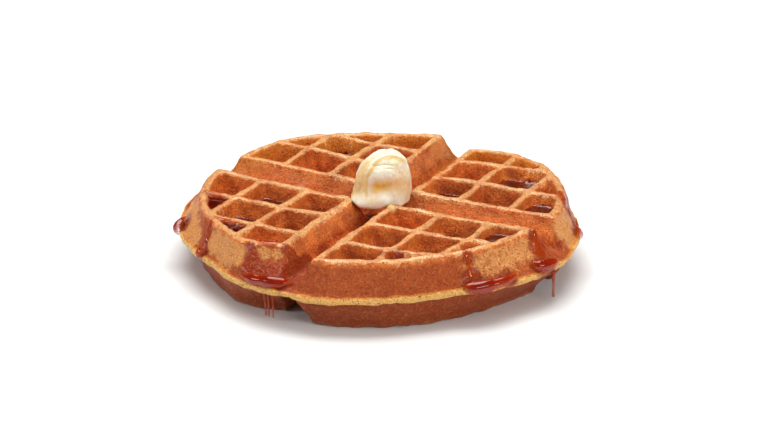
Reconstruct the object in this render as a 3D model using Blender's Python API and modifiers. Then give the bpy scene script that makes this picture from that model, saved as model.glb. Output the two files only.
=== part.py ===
"""A round Belgian waffle with a scoop of butter sitting in the middle of it.

The waffle is one solid. Its top and its underside carry the same relief: two
straight grooves cross in the middle and part it into four quarters, and each
quarter has square pockets between ribs, cut short by a round rim. Half way up
the outer wall runs the seam, where the two plates of the iron met. The bake is
uneven: the far side has curled up a few millimetres off the surface, and rim and
seam stand in or out of the round.

Frame: origin on the surface below the crossing of the grooves, +Z up, X and Y
along the grooves. All sizes are in metres.
"""
import math

import bmesh
import bpy
import numpy as np
from mathutils import Matrix, Vector

# Overall sizes of the waffle
THICKNESS = 0.0304
SEAM_RADIUS = 0.0903
RIM_RADIUS = 0.0824
SEAM_LIP = 0.0022
SEAM_HALF_HEIGHT = 0.0013
EDGE_ROUND = 0.0016
BODY_STEPS = 72

# The ribs and the pockets between them
RIB_LINES = (0.0107, 0.0338, 0.0583, 0.0828)
RIB_WIDTH = 0.0050
POCKET_DEPTH = 0.0122
POCKET_TAPER = 0.0030
POCKET_CORNER = 0.0022
RIM_WIDTH = 0.0044
SHOULDER = 0.0010

# The grooves between the quarters
GROOVE_DEPTH = 0.0128
GROOVE_FLOOR = 0.0052

# How the baked round departs from a true disc, by direction in degrees from +X:
# how far it curls up, and how far its rims and its seam stand in or out
SQUARENESS = 0.018
LIFT_FROM = 0.012
LIFT_TO = 0.085
LIFTS = {
    15: 0.0, 35: 0.0016, 50: 0.0028, 70: 0.0025, 80: 0.0012, 88: 0.0010, 94: 0.0040,
    105: 0.0040, 120: 0.0036, 132: 0.0046, 150: 0.0060, 160: 0.0055, 174: 0.0040,
    183: 0.0026, 192: 0.0024, 202: 0.0016, 212: 0.0007, 225: 0.0,
}
RIM_SHIFTS = {
    0: -0.0030, 7: -0.0030, 15: -0.0010, 25: 0.0008, 45: 0.0025, 60: 0.0020, 70: 0.0,
    84: -0.0070, 96: -0.0010, 130: -0.0010, 158: 0.0, 173: -0.0025, 187: 0.0,
    205: 0.0016, 225: 0.0, 250: 0.0, 257: -0.0035, 264: -0.0090, 276: -0.0010,
    300: -0.0005, 315: -0.0030, 340: -0.0050, 352: -0.0060, 360: -0.0030,
}
SEAM_SHIFTS = {
    0: 0.0, 10: -0.0010, 20: 0.0, 172: 0.0, 186: 0.0028, 215: 0.0042, 228: 0.0015,
    240: 0.0, 290: 0.0, 315: -0.0030, 330: -0.0020, 345: 0.0,
}
SHIFTS_FROM = 0.058
FOLDS = (0.022, 0.050)

# The scoop of butter
SCOOP_HALF_WIDTH = 0.0140
SCOOP_HALF_DEPTH = 0.0134
SCOOP_HALF_HEIGHT = 0.0152
SCOOP_CENTRE_HEIGHT = 0.0388
SCOOP_TURN = math.radians(27)
SCOOP_FOLD = 0.0006
SCOOP_AROUND = 30
SCOOP_RINGS = 16
SEAT_GAP = 0.0004
DROP_RADIUS = 0.0072
DROP_DEPTH = 0.0060

MARGIN = 0.004
MERGE = 1e-6


def clear_scene():
    """Removes every object of the startup scene."""
    for obj in list(bpy.data.objects):
        bpy.data.objects.remove(obj)


def new_collection(name):
    """A collection of its own, linked to the scene."""
    collection = bpy.data.collections.new(name)
    bpy.context.scene.collection.children.link(collection)
    return collection


def add_object(name, data, collection):
    """An object for this mesh or curve, linked to the collection."""
    obj = bpy.data.objects.new(name, data)
    collection.objects.link(obj)
    return obj


def make_material(name, colour, roughness):
    """A Principled BSDF material with one colour and roughness."""
    material = bpy.data.materials.new(name)
    material.use_nodes = True
    shader = material.node_tree.nodes["Principled BSDF"]
    shader.inputs["Base Color"].default_value = (*colour, 1.0)
    shader.inputs["Roughness"].default_value = roughness
    shader.inputs["Metallic"].default_value = 0.0
    return material


def as_mesh(obj):
    """The evaluated object as a mesh of its own; the object itself is removed."""
    graph = bpy.context.evaluated_depsgraph_get()
    mesh = bpy.data.meshes.new_from_object(obj.evaluated_get(graph))
    mesh.transform(obj.matrix_world)
    bpy.data.objects.remove(obj)
    shape = bmesh.new()
    shape.from_mesh(mesh)
    bmesh.ops.remove_doubles(shape, verts=shape.verts, dist=MERGE)
    bmesh.ops.recalc_face_normals(shape, faces=shape.faces)
    shape.to_mesh(mesh)
    shape.free()
    return mesh


def turned(name, profile, steps, collection):
    """A profile of (radius, height) points, from its top down, turned round Z."""
    mesh = bpy.data.meshes.new(name)
    edges = [(i, i + 1) for i in range(len(profile) - 1)]
    mesh.from_pydata([(r, 0.0, z) for r, z in profile], edges, [])
    obj = add_object(name, mesh, collection)
    screw = obj.modifiers.new("turn", "SCREW")
    screw.axis = "Z"
    screw.angle = math.tau
    screw.steps = steps
    screw.render_steps = steps
    screw.use_merge_vertices = True
    screw.merge_threshold = MERGE
    bpy.context.view_layer.update()
    return obj


def add_boolean(obj, cutter, operation):
    """Cuts obj with the cutter, or keeps what they share."""
    modifier = obj.modifiers.new(cutter.name, "BOOLEAN")
    modifier.operation = operation
    modifier.object = cutter
    modifier.solver = "EXACT"


def hide_cutter(obj):
    """A cutter is drawn as wire and never rendered."""
    obj.hide_render = True
    obj.display_type = "WIRE"


def body_profile():
    """Half of the outline: flat top, rounded edge, sloped wall, seam, and the same below."""
    middle = THICKNESS / 2
    wall_foot = SEAM_RADIUS - SEAM_LIP
    upper = [
        (0.0, THICKNESS),
        (RIM_RADIUS - EDGE_ROUND, THICKNESS),
        (RIM_RADIUS - 0.3 * EDGE_ROUND, THICKNESS - 0.35 * EDGE_ROUND),
        (RIM_RADIUS + 0.35 * EDGE_ROUND, THICKNESS - 1.3 * EDGE_ROUND),
        (wall_foot, middle + 2.0 * SEAM_HALF_HEIGHT),
        (SEAM_RADIUS - 0.3 * SEAM_LIP, middle + SEAM_HALF_HEIGHT),
        (SEAM_RADIUS, middle + 0.3 * SEAM_HALF_HEIGHT),
    ]
    return upper + [(r, THICKNESS - z) for r, z in reversed(upper)]


def pocket_profile():
    """A pocket from above its mouth to its floor, as radii of a four-sided turning."""
    mouth = (RIB_LINES[1] - RIB_LINES[0] - RIB_WIDTH) / 2
    floor = mouth - POCKET_TAPER
    corner = math.sqrt(2)
    rounding = POCKET_CORNER / 2
    half_widths = [
        (0.0, THICKNESS + MARGIN),
        (mouth + SHOULDER, THICKNESS + MARGIN),
        (mouth + SHOULDER, THICKNESS),
        (mouth, THICKNESS - 1.6 * SHOULDER),
        (floor + 0.15 * rounding, THICKNESS - POCKET_DEPTH + rounding),
        (floor - rounding, THICKNESS - POCKET_DEPTH),
        (0.0, THICKNESS - POCKET_DEPTH),
    ]
    return [(corner * w, z) for w, z in half_widths]


def rim_profile():
    """The round space inside the rim, which cuts the outer pockets short."""
    mouth = RIM_RADIUS - RIM_WIDTH
    floor = mouth - POCKET_TAPER
    return [
        (0.0, THICKNESS + 2 * MARGIN),
        (mouth + SHOULDER, THICKNESS + 2 * MARGIN),
        (mouth + SHOULDER, THICKNESS),
        (mouth, THICKNESS - 1.6 * SHOULDER),
        (floor, THICKNESS - POCKET_DEPTH + 0.4 * POCKET_CORNER),
        (floor, THICKNESS - POCKET_DEPTH - MARGIN),
        (0.0, THICKNESS - POCKET_DEPTH - MARGIN),
    ]


def pocket_block(collection):
    """One pocket as a solid, its upright corners rounded."""
    block = turned("pocket", pocket_profile(), 4, collection)
    block.rotation_euler.z = math.radians(45)
    bpy.context.view_layer.update()
    mesh = as_mesh(block)
    shape = bmesh.new()
    shape.from_mesh(mesh)
    upright = [e for e in shape.edges if is_upright_corner(e)]
    bmesh.ops.bevel(
        shape, geom=upright, offset=POCKET_CORNER, segments=1, profile=0.5,
        affect="EDGES", offset_type="OFFSET",
    )
    shape.to_mesh(mesh)
    shape.free()
    return mesh


def is_upright_corner(edge):
    """True for the edges that run from the mouth to the floor at a corner of the block."""
    ends = [v.co for v in edge.verts]
    on_corner = all(abs(abs(p.x) - abs(p.y)) < MERGE and abs(p.x) > POCKET_CORNER for p in ends)
    return on_corner and abs(ends[0].z - ends[1].z) > MERGE


def pocket_places():
    """Centre and width of every pocket in plan, those outside the rim left out."""
    inner = RIM_RADIUS - RIM_WIDTH
    spans = list(zip(RIB_LINES, RIB_LINES[1:]))
    for from_x, to_x in spans:
        for from_y, to_y in spans:
            half = RIB_WIDTH / 2
            if math.hypot(from_x + half, from_y + half) > inner - POCKET_CORNER:
                continue
            centre = ((from_x + to_x) / 2, (from_y + to_y) / 2)
            size = (to_x - from_x - RIB_WIDTH, to_y - from_y - RIB_WIDTH)
            for side_x, side_y in ((1, 1), (-1, 1), (1, -1), (-1, -1)):
                yield (side_x * centre[0], side_y * centre[1]), size


def pocket_cutter(collection):
    """All the pockets of the top side as one cutter, trimmed to the round rim."""
    block = pocket_block(collection)
    shape = bmesh.new()
    own_size = RIB_LINES[1] - RIB_LINES[0] - RIB_WIDTH
    for (x, y), (size_x, size_y) in pocket_places():
        placed = block.copy()
        placed.transform(Matrix.Diagonal((size_x / own_size, size_y / own_size, 1.0, 1.0)))
        placed.transform(Matrix.Translation((x, y, 0.0)))
        shape.from_mesh(placed)
        bpy.data.meshes.remove(placed)
    mesh = bpy.data.meshes.new("pockets")
    shape.to_mesh(mesh)
    shape.free()
    cutter = add_object("pockets", mesh, collection)
    rim = turned("inside_rim", rim_profile(), BODY_STEPS, collection)
    rim_solid = add_object("inside_rim_solid", as_mesh(rim), collection)
    add_boolean(cutter, rim_solid, "INTERSECT")
    hide_cutter(rim_solid)
    bpy.context.view_layer.update()
    return add_object("pockets_top", as_mesh(cutter), collection)


def groove_cutter(name, collection):
    """One groove along X: an outline across it, extruded past both rims."""
    mouth = RIB_LINES[0] - RIB_WIDTH / 2
    floor = THICKNESS - GROOVE_DEPTH
    right = [
        (mouth + SHOULDER, THICKNESS + MARGIN),
        (mouth + SHOULDER, THICKNESS),
        (mouth, THICKNESS - 1.6 * SHOULDER),
        (GROOVE_FLOOR / 2 + 0.0006, floor + 0.0014),
        (GROOVE_FLOOR / 2 - 0.0008, floor),
    ]
    outline = right + [(-y, z) for y, z in reversed(right)]
    curve = bpy.data.curves.new(name, "CURVE")
    curve.dimensions = "2D"
    curve.fill_mode = "BOTH"
    curve.extrude = SEAM_RADIUS + MARGIN
    spline = curve.splines.new("POLY")
    spline.points.add(len(outline) - 1)
    for point, (y, z) in zip(spline.points, outline):
        point.co = (y, z, 0.0, 1.0)
    spline.use_cyclic_u = True
    obj = add_object(name, curve, collection)
    obj.matrix_world = Matrix(((0, 0, 1, 0), (1, 0, 0, 0), (0, 1, 0, 0), (0, 0, 0, 1)))
    bpy.context.view_layer.update()
    return add_object(name + "_solid", as_mesh(obj), collection)


def turned_copy(obj, name, matrix, collection):
    """A copy of a cutter, turned by a rotation."""
    mesh = obj.data.copy()
    mesh.transform(matrix)
    return add_object(name, mesh, collection)


def all_cutters(collection):
    """The cutters of the top side, each followed by itself turned over for the underside."""
    across = Matrix(((0, -1, 0, 0), (1, 0, 0, 0), (0, 0, 1, 0), (0, 0, 0, 1)))
    turn_over = Matrix(((1, 0, 0, 0), (0, -1, 0, 0), (0, 0, -1, THICKNESS), (0, 0, 0, 1)))
    groove_x = groove_cutter("groove_x", collection)
    tops = [
        pocket_cutter(collection),
        groove_x,
        turned_copy(groove_x, "groove_y_solid", across, collection),
    ]
    cutters = []
    for top in tops:
        under = turned_copy(top, top.name + "_under", turn_over, collection)
        cutters += [top, under]
    return cutters


def smoothstep(low, high, value):
    """0 below low, 1 above high, and an S-shaped cubic between."""
    t = min(1.0, max(0.0, (value - low) / (high - low)))
    return t * t * (3.0 - 2.0 * t)


def by_direction(table, angle):
    """Reads a table of direction and value all round, softened over a few degrees."""
    direction = math.degrees(angle) % 360
    turns = (direction - 3, direction, direction + 3)
    return float(np.mean(np.interp(turns, list(table), list(table.values()), period=360)))


def baked_place(point):
    """Where a point of the true round ends up: drawn out along the grooves, then curled up."""
    angle = math.atan2(point.y, point.x)
    radius = max(math.hypot(point.x, point.y), MERGE)
    stretch = SQUARENESS * (radius / SEAM_RADIUS) ** 4 * math.cos(4 * angle)
    rim = by_direction(RIM_SHIFTS, angle)
    seam = by_direction(SEAM_SHIFTS, angle)
    off_seam = smoothstep(0.001, 0.012, abs(point.z - THICKNESS / 2))
    shift = smoothstep(SHIFTS_FROM, RIM_RADIUS, radius) * (seam + (rim - seam) * off_seam)
    scale = 1.0 + stretch + shift / radius
    reach = max(0.0, radius - LIFT_FROM) / (LIFT_TO - LIFT_FROM)
    up = by_direction(LIFTS, angle) * reach
    return Vector((point.x * scale, point.y * scale, point.z + up))


def bend(mesh):
    """Cuts the mesh along the folds, so that it can bend there, then moves its points."""
    shape = bmesh.new()
    shape.from_mesh(mesh)
    for fold in FOLDS:
        for place, normal in (((-fold, 0, 0), (1, 0, 0)), ((0, fold, 0), (0, 1, 0))):
            everything = shape.verts[:] + shape.edges[:] + shape.faces[:]
            bmesh.ops.bisect_plane(
                shape, geom=everything, dist=MERGE, plane_co=place, plane_no=normal,
            )
    for vert in shape.verts:
        vert.co = baked_place(vert.co)
    bmesh.ops.triangulate(shape, faces=shape.faces)
    shape.to_mesh(mesh)
    shape.free()


def make_waffle(parts, cutters):
    """The turned round, its pockets and grooves cut away on both sides, then bent."""
    body = turned("round", body_profile(), BODY_STEPS, cutters)
    for cutter in all_cutters(cutters):
        add_boolean(body, cutter, "DIFFERENCE")
        hide_cutter(cutter)
    bpy.context.view_layer.update()
    mesh = as_mesh(body)
    bend(mesh)
    mesh.set_sharp_from_angle(angle=math.radians(35))
    waffle = add_object("waffle", mesh, parts)
    mesh.materials.clear()
    mesh.materials.append(make_material("baked_crust", (0.56, 0.23, 0.06), 0.6))
    return waffle


def scoop_radius(around, up):
    """The scoop's size as a share of its egg shape: soft folds left by the scoop's edge."""
    fold = math.sin(3.0 * up + 1.6 * math.sin(around))
    return 1.0 + SCOOP_FOLD / SCOOP_HALF_WIDTH * fold * math.cos(up)


def ellipsoid(name, half_sizes, centre, collection, around=SCOOP_AROUND, rings=SCOOP_RINGS):
    """A closed egg of triangles with these half sizes, folded and narrowed only for the scoop."""
    shape = bmesh.new()
    bmesh.ops.create_uvsphere(shape, u_segments=around, v_segments=rings, radius=1.0)
    folded = name == "scoop"
    for vert in shape.verts:
        size = 1.0
        if folded:
            turn = math.atan2(vert.co.y, vert.co.x)
            up = math.asin(max(-1.0, min(1.0, vert.co.z)))
            size = scoop_radius(turn, up) * (1.0 - 0.10 * vert.co.z)
        vert.co = Vector(c * half * size for c, half in zip(vert.co, half_sizes))
    bmesh.ops.triangulate(shape, faces=shape.faces)
    mesh = bpy.data.meshes.new(name)
    shape.to_mesh(mesh)
    shape.free()
    mesh.transform(Matrix.Rotation(SCOOP_TURN, 4, "Z"))
    mesh.transform(Matrix.Translation(centre))
    return add_object(name, mesh, collection)


def make_butter(parts, cutters):
    """An egg of butter with its base on the ribs, and a drop of it sunk in the crossing."""
    base = THICKNESS + SEAT_GAP
    egg = ellipsoid(
        "scoop", (SCOOP_HALF_WIDTH, SCOOP_HALF_DEPTH, SCOOP_HALF_HEIGHT),
        (0.0, 0.0, SCOOP_CENTRE_HEIGHT), cutters,
    )
    slab_mesh = bpy.data.meshes.new("below_ribs")
    slab_shape = bmesh.new()
    bmesh.ops.create_cube(slab_shape, size=2 * THICKNESS)
    slab_shape.to_mesh(slab_mesh)
    slab_shape.free()
    slab_mesh.transform(Matrix.Translation((0.0, 0.0, base - THICKNESS)))
    slab = add_object("below_ribs", slab_mesh, cutters)
    drop = ellipsoid(
        "drop", (DROP_RADIUS, DROP_RADIUS, DROP_DEPTH), (0.0, 0.0, base + 0.001), cutters,
        around=24, rings=12,
    )
    add_boolean(egg, slab, "DIFFERENCE")
    add_boolean(egg, drop, "UNION")
    hide_cutter(slab)
    hide_cutter(drop)
    bpy.context.view_layer.update()
    mesh = as_mesh(egg)
    mesh.set_sharp_from_angle(angle=math.radians(40))
    mesh.materials.clear()
    mesh.materials.append(make_material("soft_butter", (0.86, 0.72, 0.38), 0.4))
    return add_object("butter", mesh, parts)


def main():
    clear_scene()
    parts = new_collection("belgian_waffle")
    cutters = new_collection("cutters")
    make_waffle(parts, cutters)
    make_butter(parts, cutters)


main()
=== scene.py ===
# %% [markdown]
# A thick round waffle, still warm, with a scoop of butter melting over its middle and
# syrup run over it. A round waffle iron leaves a strict pattern: a cross of grooves that
# parts it into quarters, square pockets between ribs, a rim, a sloping wall and a seam
# half way up where its two halves met. The frame holds this as plain solids. Here the
# crust, the butter and the syrup are worked out again as fine surfaces in the same place.

# %% Load the frame and keep its box
import math
import bpy
import numpy as np
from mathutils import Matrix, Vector


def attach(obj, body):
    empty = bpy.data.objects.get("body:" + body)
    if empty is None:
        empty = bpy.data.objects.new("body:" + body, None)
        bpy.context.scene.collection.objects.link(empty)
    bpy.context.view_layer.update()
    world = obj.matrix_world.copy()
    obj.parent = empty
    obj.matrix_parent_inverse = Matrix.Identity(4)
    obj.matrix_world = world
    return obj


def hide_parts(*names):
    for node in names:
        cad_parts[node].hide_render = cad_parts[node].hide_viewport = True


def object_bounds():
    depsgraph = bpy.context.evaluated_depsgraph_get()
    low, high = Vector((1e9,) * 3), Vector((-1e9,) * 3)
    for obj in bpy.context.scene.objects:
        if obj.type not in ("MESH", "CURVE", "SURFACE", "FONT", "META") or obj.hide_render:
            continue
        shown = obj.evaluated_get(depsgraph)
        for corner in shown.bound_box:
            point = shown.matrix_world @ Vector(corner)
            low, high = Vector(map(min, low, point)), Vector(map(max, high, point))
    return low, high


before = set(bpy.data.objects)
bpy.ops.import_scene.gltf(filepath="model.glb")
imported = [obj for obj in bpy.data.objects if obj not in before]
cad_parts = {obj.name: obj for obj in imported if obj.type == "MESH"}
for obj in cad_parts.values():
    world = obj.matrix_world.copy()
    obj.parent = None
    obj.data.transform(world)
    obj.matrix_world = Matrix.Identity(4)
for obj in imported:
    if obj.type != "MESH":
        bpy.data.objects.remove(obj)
cad_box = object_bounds()
print("nodes in the frame:", sorted(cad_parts))
print("box in mm:", [round(1000 * c, 1) for corner in cad_box for c in corner])

# %% [markdown]
# Everything below is worked out in millimetres, the unit a baker's iron is drawn in, and
# becomes metres only when a mesh is made. The waffle's sizes repeat those of the solids.

# %% Sizes of the waffle, in millimetres
MM = 0.001
THICKNESS = 30.4
MIDDLE = THICKNESS / 2
RIB_LINES = np.array([10.7, 33.8, 58.3, 82.8])
RIB_HALF = 0.35
RIM_INSIDE = 80.7
RIM_EDGE = 82.9
WALL_FOOT = 88.4
SEAM_RADIUS = 90.6
SEAM_HALF = 1.35
SQUARENESS = 0.018

# How the bake departs from the iron's pattern, by direction in degrees from +X
LIFT_FROM = 12.0
LIFT_TO = 85.0
LIFTS = {
    15: 0.0, 35: 1.6, 50: 2.8, 70: 2.5, 80: 1.2, 88: 1.0, 94: 4.0, 105: 4.0, 120: 3.6, 132: 4.6,
    150: 6.0, 160: 5.5, 174: 4.0, 183: 2.6, 192: 2.4, 202: 1.6, 212: 0.7, 225: 0.0,
}
RIM_SHIFTS = {
    0: -3.0, 7: -3.0, 15: -1.0, 25: 0.8, 45: 2.5, 60: 2.0, 70: 0.0, 84: -7.0, 96: -1.0, 130: -1.0,
    158: 0.0, 173: -2.5, 187: 0.0, 205: 1.6, 225: 0.0, 250: 0.0, 257: -3.5, 264: -9.0, 276: -1.0,
    300: -0.5, 315: -3.0, 340: -5.0, 352: -6.0, 360: -3.0,
}
SEAM_SHIFTS = {
    0: 0.0, 10: -1.0, 20: 0.0, 172: 0.0, 186: 2.8, 215: 4.2, 228: 1.5, 240: 0.0, 290: 0.0,
    315: -3.0, 330: -2.0, 345: 0.0,
}

# %% [markdown]
# Three small tools do most of the work. Soft minimum and smoothstep blend shapes without a
# crease. Value noise gives baked things their unevenness: random numbers sit at the corners
# of a lattice of cubes, and each point takes a smooth blend of the eight corners round it.

# %% Blends and noise
LATTICE = 32
TINY = 1e-9


def smoothstep(low, high, value):
    """0 below low, 1 above high, and an S-shaped cubic between."""
    t = np.clip((value - low) / (high - low), 0.0, 1.0)
    return t * t * (3.0 - 2.0 * t)


def soft_min(a, b, blend):
    """The smaller of two, rounded where they are closer than blend."""
    blend = np.maximum(blend, TINY)
    h = np.clip(0.5 + 0.5 * (b - a) / blend, 0.0, 1.0)
    return b + (a - b) * h - blend * h * (1.0 - h)


def unit(vectors):
    """Vectors with their length made 1."""
    return vectors / np.maximum(np.linalg.norm(vectors, axis=-1, keepdims=True), TINY)


def value_noise(points, cell, seed):
    """Smooth noise from -1 to 1 at points (N, 3), its bumps about two cells across."""
    table = np.random.default_rng(seed).uniform(-1.0, 1.0, (LATTICE, LATTICE, LATTICE))
    scaled = points / cell
    low = np.floor(scaled).astype(int)
    t = scaled - low
    t = t * t * (3.0 - 2.0 * t)
    total = np.zeros(len(points))
    for corner in np.ndindex(2, 2, 2):
        corner = np.array(corner)
        weight = np.prod(np.where(corner == 1, t, 1.0 - t), axis=1)
        i, j, k = ((low + corner) % LATTICE).T
        total += weight * table[i, j, k]
    return total


# %% [markdown]
# A pocket's wall rolls off the rib, leans down and rolls into the floor. Seen from the side
# that is an arc, a straight line and an arc again. Its depth is then read off by how far a
# point lies inside the pocket's edge, so one curve shapes every pocket and groove.

# %% The side view of a pocket's wall
def wall_section(depth, lean, top_round, foot_round, arc_points=9):
    """Run and drop of a wall: an arc down to the lean, a straight part, an arc to level."""
    turn = np.linspace(0.0, math.radians(lean), arc_points)
    arc = np.array([np.sin(turn), 1.0 - np.cos(turn)])
    top, foot = arc * top_round, arc * foot_round
    straight_drop = depth - top[1, -1] - foot[1, -1]
    straight_run = straight_drop / math.tan(math.radians(lean))
    total_run = top[0, -1] + straight_run + foot[0, -1]
    foot_from_end = np.array([total_run - foot[0, ::-1], depth - foot[1, ::-1]])
    return np.concatenate([top, foot_from_end], axis=1)


POCKET_WALL = wall_section(depth=12.2, lean=75, top_round=1.5, foot_round=2.4)
GROOVE_WALL = wall_section(depth=12.8, lean=67, top_round=1.9, foot_round=1.8)
POCKET_RUN = POCKET_WALL[0, -1]
GROOVE_RUN = GROOVE_WALL[0, -1]
print("pocket wall runs %.1f mm, groove wall %.1f mm" % (POCKET_RUN, GROOVE_RUN))


# %% How deep the iron pressed at each place of the plan
POCKET_CORNER = 2.3
RIM_CORNER = 2.0
CROSS_CORNER = 3.0
GROOVE_EDGE = RIB_LINES[0] - RIB_HALF


def rib_inset(along):
    """Distance inside the rib edges on one axis, negative on a rib and in the groove."""
    from_rib = np.abs(along[..., None] - RIB_LINES).min(axis=-1)
    return np.where(along > RIB_LINES[0], from_rib, along - RIB_LINES[0]) - RIB_HALF


def pocket_drop(x, y):
    """Depth of the pockets: the least of the insets on X, on Y and from the round rim."""
    inset = soft_min(rib_inset(np.abs(x)), rib_inset(np.abs(y)), POCKET_CORNER)
    inset = soft_min(inset, RIM_INSIDE - np.hypot(x, y), RIM_CORNER)
    return np.interp(inset, *POCKET_WALL)


def groove_drop(x, y):
    """Depth of the two crossing grooves, their four inner corners rounded in plan."""
    inset = -soft_min(np.abs(x) - GROOVE_EDGE, np.abs(y) - GROOVE_EDGE, CROSS_CORNER)
    return np.interp(inset, *GROOVE_WALL)


# %% [markdown]
# The waffle didn't stay a true flat disc. It is drawn out a little along its grooves, and
# its far quarter has curled up off the surface. Both are moves of finished points, so they
# are kept apart from the pattern.

# %% Where a point of the true round ends up
def by_direction(table, x, y):
    """Reads a table of direction and value all round, softened over a few degrees."""
    direction = np.degrees(np.arctan2(y, x)) % 360.0
    keys, values = list(table), list(table.values())
    looks = [np.interp(direction + turn, keys, values, period=360.0) for turn in (-3, 0, 3)]
    return np.mean(looks, axis=0)


def lift(x, y):
    """Curl off the surface: what the direction says, times how far out the point lies."""
    reach = np.maximum(0.0, np.hypot(x, y) - LIFT_FROM) / (LIFT_TO - LIFT_FROM)
    return by_direction(LIFTS, x, y) * reach


def baked_place(points):
    """Draws points out along the grooves, shifts the rim and the seam in or out, and lifts."""
    x, y, z = points.T
    radius = np.maximum(np.hypot(x, y), TINY)
    stretch = SQUARENESS * (radius / SEAM_RADIUS) ** 4 * np.cos(4.0 * np.arctan2(y, x))
    off_seam = smoothstep(1.0, 12.0, np.abs(z - MIDDLE))
    rim, seam = by_direction(RIM_SHIFTS, x, y), by_direction(SEAM_SHIFTS, x, y)
    shift = smoothstep(58.0, RIM_EDGE, radius) * (seam + (rim - seam) * off_seam)
    scale = 1.0 + stretch + shift / radius
    return np.stack([x * scale, y * scale, z + lift(x, y)], axis=1)


# %% [markdown]
# The plan is covered in two parts. Inside, lines run with the ribs and crowd together where
# a wall stands, so that walls are crisp without a heavy mesh. Outside, rings follow the
# round rim and go on down the wall to the seam. The inner part's stepped edge is pulled
# onto a circle, and those points start the rings, so both parts share them.

# %% Lines that run with the ribs
INNER_CIRCLE = 72.3
# Where the top bend and the slope of a wall end, in from its edge, and a groove's foot bend
TOP_BEND = 1.5
SLOPE_END = 3.5
GROOVE_FOOT_BEND = 1.7


def stepped(stops, counts):
    """Places from the first stop to just before the last, in so many steps between each two."""
    spans = zip(stops, stops[1:], counts)
    return np.concatenate([np.linspace(a, b, n, endpoint=False) for a, b, n in spans])


def axis_lines():
    """Places of the grid lines on one axis: stops where the wall section changes, then steps."""
    groove_foot = GROOVE_EDGE - GROOVE_RUN
    stops = [0.0, groove_foot, groove_foot + GROOVE_FOOT_BEND, GROOVE_EDGE - TOP_BEND, GROOVE_EDGE]
    counts = [2, 2, 6, 4]
    wall = np.array([0.0, TOP_BEND, SLOPE_END, POCKET_RUN])
    for rib, following in zip(RIB_LINES[:3], RIB_LINES[1:]):
        stops += [*(rib + RIB_HALF + wall), *(following - RIB_HALF - wall[::-1])]
        counts += [2, 4, 4, 2, 5, 2, 4, 4]
    stops = stops[:-len(wall)] + [INNER_CIRCLE]
    half = np.append(stepped(stops, counts), INNER_CIRCLE)
    return np.concatenate([-half[:0:-1], half])


lines = axis_lines()
grid_x, grid_y = np.meshgrid(lines, lines, indexing="ij")
centre_x, centre_y = [(g[1:, 1:] + g[:-1, :-1]) / 2 for g in (grid_x, grid_y)]
kept = np.hypot(centre_x, centre_y) < INNER_CIRCLE
numbers = np.arange(grid_x.size).reshape(grid_x.shape)
corners = [numbers[:-1, :-1], numbers[1:, :-1], numbers[1:, 1:], numbers[:-1, 1:]]
inner_quads = np.stack([c[kept] for c in corners], axis=1)
used = np.unique(inner_quads)
cells_round = np.bincount(inner_quads.ravel(), minlength=grid_x.size)
on_edge = used[cells_round[used] < 4]
inner_plan = np.stack([grid_x.ravel(), grid_y.ravel()], axis=1)
inner_plan[on_edge] *= (INNER_CIRCLE / np.hypot(*inner_plan[on_edge].T))[:, None]
renumber = np.full(grid_x.size, -1)
renumber[used] = np.arange(len(used))
inner_plan = inner_plan[used]
inner_quads = renumber[inner_quads]
edge_points = renumber[on_edge]
edge_angles = np.arctan2(*inner_plan[edge_points].T[::-1])
edge_points = edge_points[np.argsort(edge_angles)]
edge_angles = np.sort(edge_angles)
print("lines:", len(lines), "inner quads:", len(inner_quads), "edge points:", len(edge_points))


# %% Rings that follow the rim, the wall and the seam
def rounded_path(corners, reaches, line_steps, arc_steps):
    """Straight runs, each corner cut by a parabola from one reach before it to one after."""
    corners = np.array(corners, float)
    path = []
    start = corners[0]
    settings = zip(corners, corners[1:], corners[2:], reaches, line_steps, arc_steps)
    for before, corner, after, reach, line_count, arc_count in settings:
        enter = corner + unit(before - corner) * reach
        leave = corner + unit(after - corner) * reach
        t = np.linspace(0.0, 1.0, line_count, endpoint=False)[:, None]
        path.append(start + (enter - start) * t)
        t = np.linspace(0.0, 1.0, arc_count, endpoint=False)[:, None]
        path.append((1 - t) ** 2 * enter + 2 * t * (1 - t) * corner + t ** 2 * leave)
        start = leave
    path.append(np.array([start, corners[-1]]))
    return np.concatenate(path)


rim_stops = [INNER_CIRCLE, *(RIM_INSIDE - np.array([POCKET_RUN, SLOPE_END, TOP_BEND, 0.0]))]
rim_radii = stepped(rim_stops, [1, 2, 3, 3])
wall_corners = [
    (RIM_INSIDE, THICKNESS), (RIM_EDGE, THICKNESS), (WALL_FOOT, MIDDLE + 1.9),
    (SEAM_RADIUS, MIDDLE + SEAM_HALF), (SEAM_RADIUS + 0.3, MIDDLE),
]
wall_path = rounded_path(
    wall_corners, reaches=(2.0, 0.9, 0.8), line_steps=(2, 10, 1), arc_steps=(4, 3, 3))
rim_path = np.stack([rim_radii, np.full(len(rim_radii), THICKNESS)], axis=1)
ring_path = np.concatenate([rim_path, wall_path])[1:]
print("rings:", len(ring_path), "outermost radius:", ring_path[:, 0].max())


# %% Both parts of the plan as one list of points and faces
def ring_angles(radius):
    """Columns leave the circle straight out, except beside a groove, where they run with it."""
    quarter = math.pi / 2
    arm = np.round(edge_angles / quarter) * quarter
    off_arm = edge_angles - arm
    beside = INNER_CIRCLE * np.abs(np.sin(off_arm))
    with_groove = arm + np.arcsin(INNER_CIRCLE * np.sin(off_arm) / radius)
    share = 1.0 - smoothstep(13.0, 32.0, beside)
    return edge_angles + share * (with_groove - edge_angles)


def sheet_plan():
    """Plan and outline height of every point, inner part first, then ring after ring."""
    ring_points = []
    for radius, height in ring_path:
        angles = ring_angles(radius)
        level = np.full(len(angles), height)
        around = [radius * np.cos(angles), radius * np.sin(angles), level]
        ring_points.append(np.stack(around, axis=1))
    level = np.full((len(inner_plan), 1), THICKNESS)
    return np.concatenate([np.hstack([inner_plan, level])] + ring_points)


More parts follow.
